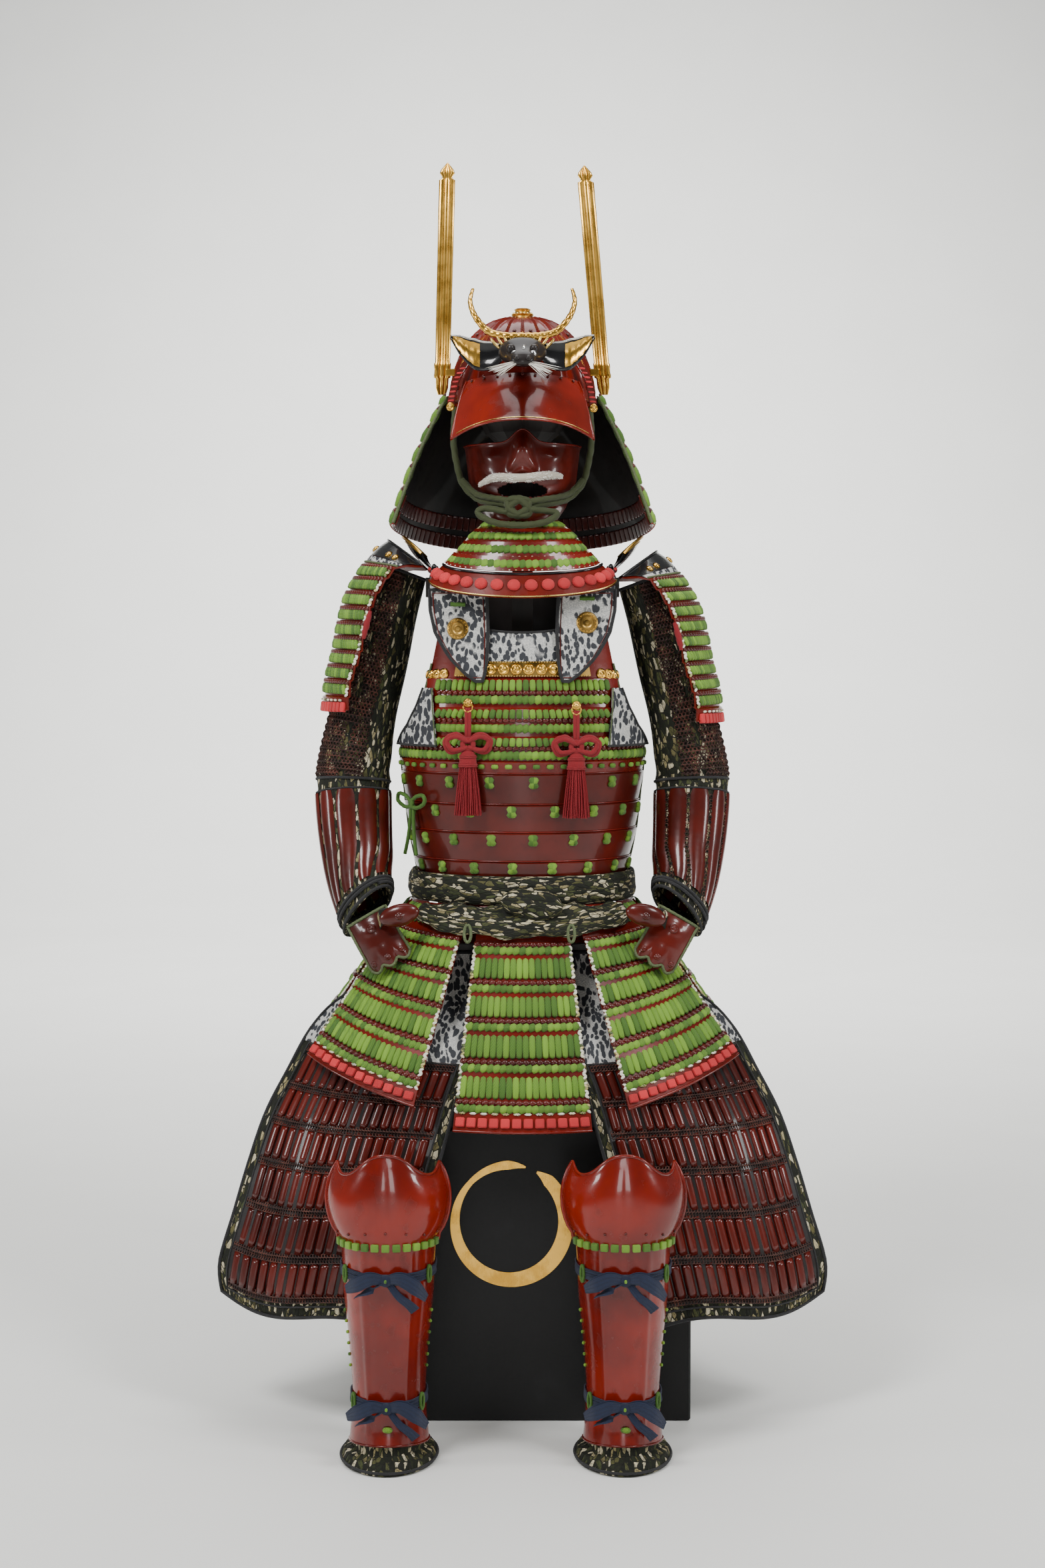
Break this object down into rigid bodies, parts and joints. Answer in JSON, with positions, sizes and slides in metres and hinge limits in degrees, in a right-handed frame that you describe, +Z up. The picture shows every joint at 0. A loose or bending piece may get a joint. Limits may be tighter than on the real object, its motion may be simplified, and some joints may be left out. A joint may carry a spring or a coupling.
{
  "type": "samurai armour on a storage box stand",
  "caption": "Full suit of laced and lacquered armour with helmet, mask and crests, set up seated on its black storage box, hollow and rigid in its pose.",
  "frame": {"origin": "centre of the storage box's underside, on the floor", "axes": "+Z up, +X to the right as seen from the front, -Y the way the armour faces"},
  "size_m": [0.9104, 0.7197, 1.885],
  "materials": {
    "red_lacquer": "glossy red lacquer over iron and hide plates",
    "dark_lacquer": "glossy black lacquer",
    "laced_green": "lames laced with green flat braid",
    "gilt": "gilt",
    "box_black": "matt black lacquer",
    "stand_wood": "plain oiled wood",
    "brocade": "green, black and ivory woven brocade",
    "patterned_leather": "white leather with dark printed marks",
    "crimson_silk": "twisted silk cord",
    "navy_cotton": "woven cotton tape",
    "green_cord": "round braided cord",
    "white_fur": "short white hair",
    "splinted_mail": "dark mail with red lacquered splints"
  },
  "bodies": {
    "root": {"armhole_leather_left": "patterned_leather", "armhole_leather_right": "patterned_leather", "breast_flap_left": "dark_lacquer", "breast_flap_right": "dark_lacquer", "breast_leather": "patterned_leather", "chest_body": "box_black", "chest_lid": "box_black", "chest_tassel_left": "crimson_silk", "chest_tassel_right": "crimson_silk", "chin_cord": "green_cord", "crest_head": "dark_lacquer", "crest_horns": "gilt", "crown_ring": "gilt", "cuirass_back": "red_lacquer", "cuirass_front": "red_lacquer", "face_mask": "red_lacquer", "hand_guard_left": "red_lacquer", "hand_guard_right": "red_lacquer", "helmet_bowl": "red_lacquer", "helmet_peak": "red_lacquer", "knee_plate_left": "red_lacquer", "knee_plate_right": "red_lacquer", "moustache": "white_fur", "neck_guard": "laced_green", "sash_lower": "brocade", "sash_upper": "brocade", "shin_cloth_left": "brocade", "shin_cloth_right": "brocade", "shin_plate_left": "red_lacquer", "shin_plate_right": "red_lacquer", "shin_tie_lower_left": "navy_cotton", "shin_tie_lower_right": "navy_cotton", "shin_tie_upper_left": "navy_cotton", "shin_tie_upper_right": "navy_cotton", "shoulder_strap_left": "dark_lacquer", "shoulder_strap_right": "dark_lacquer", "shoulder_wing_left": "dark_lacquer", "shoulder_wing_right": "dark_lacquer", "side_crest_left": "gilt", "side_crest_right": "gilt", "side_tail_back": "green_cord", "side_tail_front": "green_cord", "side_tie": "green_cord", "sleeve_left": "splinted_mail", "sleeve_right": "splinted_mail", "sode_left": "laced_green", "sode_right": "laced_green", "stand": "stand_wood", "tasset_back_left": "laced_green", "tasset_back_right": "laced_green", "tasset_front": "laced_green", "tasset_front_left": "laced_green", "tasset_front_right": "laced_green", "tasset_side_left": "laced_green", "tasset_side_right": "laced_green", "thigh_guard_left": "splinted_mail", "thigh_guard_right": "splinted_mail", "throat_guard_lower": "red_lacquer", "throat_guard_upper": "laced_green"}
  },
  "joints": []
}
